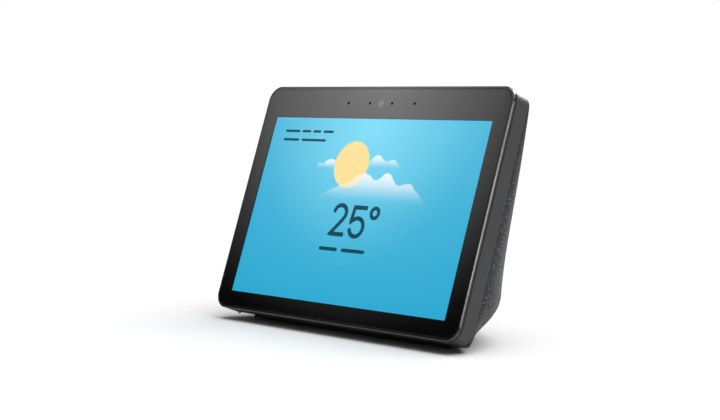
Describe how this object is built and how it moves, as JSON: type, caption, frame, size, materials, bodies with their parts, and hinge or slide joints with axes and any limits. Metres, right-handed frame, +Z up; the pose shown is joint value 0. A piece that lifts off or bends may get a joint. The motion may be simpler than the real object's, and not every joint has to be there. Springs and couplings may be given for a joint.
{
  "type": "smart display",
  "caption": "Touch-screen smart display leaning back in a rounded plastic band, with a fabric-covered speaker casing behind, top buttons and a rear socket bay.",
  "frame": {"origin": "middle of the bounding box's base, on the surface the foot rests on", "axes": "+Z up, +X to the right of a viewer who faces the screen, -Y out of the screen towards that viewer"},
  "size_m": [0.246, 0.1054, 0.172],
  "materials": {
    "cover_glass": "glossy black-printed glass",
    "trim": "polished chamfer",
    "band_plastic": "fine satin",
    "display": "lit screen",
    "steel": "satin zinc",
    "black_plastic": "moulded",
    "shell_plastic": "fine texture",
    "lens_glass": "polished",
    "circuit_board": "solder mask",
    "aluminium": "bead blasted",
    "ribbon_film": "amber film",
    "fabric": "mottled charcoal weave",
    "rubber": "matt",
    "magnet": "plated",
    "cone_paper": "pressed fibre",
    "brass": "plated",
    "lead_jacket": "satin"
  },
  "bodies": {
    "housing": {"cover_glass": "cover_glass", "front_trim": "trim", "front_housing": "band_plastic", "display_panel": "display", "display_bracket": "steel", "camera_module": "black_plastic", "camera_lens": "lens_glass", "microphone_board": "circuit_board", "button_board": "circuit_board", "main_board": "circuit_board", "shield_can": "steel", "heat_spreader": "aluminium", "display_ribbon": "ribbon_film", "left_antenna": "circuit_board", "right_antenna": "circuit_board", "bracket_screw_1": "steel", "bracket_screw_2": "steel", "bracket_screw_3": "steel", "bracket_screw_4": "steel", "board_screw_1": "steel", "board_screw_2": "steel", "board_screw_3": "steel", "board_screw_4": "steel", "rear_shell": "shell_plastic", "fabric_cover": "fabric", "base_plate": "shell_plastic", "foot_pad": "rubber", "port_plate": "shell_plastic", "power_socket": "black_plastic", "power_pin": "brass", "service_socket": "steel", "port_board": "circuit_board", "power_lead": "lead_jacket", "left_speaker_lead": "lead_jacket", "right_speaker_lead": "lead_jacket", "speaker_box": "black_plastic", "speaker_box_cover": "black_plastic", "base_screw_1": "steel", "base_screw_2": "steel", "base_screw_3": "steel", "base_screw_4": "steel", "left_driver_basket": "steel", "left_driver_magnet": "magnet", "left_driver_surround": "rubber", "right_driver_basket": "steel", "right_driver_magnet": "magnet", "right_driver_surround": "rubber", "radiator_frame": "black_plastic", "radiator_surround": "rubber"},
    "mute_button": {"mute_button": "band_plastic"},
    "volume_down_button": {"volume_down_button": "band_plastic"},
    "volume_up_button": {"volume_up_button": "band_plastic"},
    "left_cone": {"left_driver_cone": "cone_paper"},
    "right_cone": {"right_driver_cone": "cone_paper"},
    "radiator": {"radiator_plate": "aluminium"}
  },
  "joints": [
    {"name": "mute_press", "type": "slide", "parent": "housing", "child": "mute_button", "axis": [0, -0.3338, -0.9426], "range_m": [0, 0.0008], "stiffness_N_per_m": 500},
    {"name": "volume_down_press", "type": "slide", "parent": "housing", "child": "volume_down_button", "axis": [0, -0.3338, -0.9426], "range_m": [0, 0.0008], "stiffness_N_per_m": 500},
    {"name": "volume_up_press", "type": "slide", "parent": "housing", "child": "volume_up_button", "axis": [0, -0.3338, -0.9426], "range_m": [0, 0.0008], "stiffness_N_per_m": 500},
    {"name": "left_cone_travel", "type": "slide", "parent": "housing", "child": "left_cone", "axis": [-0.7071, 0.7071, 0], "range_m": [-0.002, 0.002], "stiffness_N_per_m": 1500, "deforming": ["left_driver_surround"]},
    {"name": "right_cone_travel", "type": "slide", "parent": "housing", "child": "right_cone", "axis": [0.7071, 0.7071, 0], "range_m": [-0.002, 0.002], "stiffness_N_per_m": 1500, "deforming": ["right_driver_surround"]},
    {"name": "radiator_travel", "type": "slide", "parent": "housing", "child": "radiator", "axis": [0, 1, 0], "range_m": [-0.003, 0.003], "stiffness_N_per_m": 1000, "deforming": ["radiator_surround"]}
  ]
}
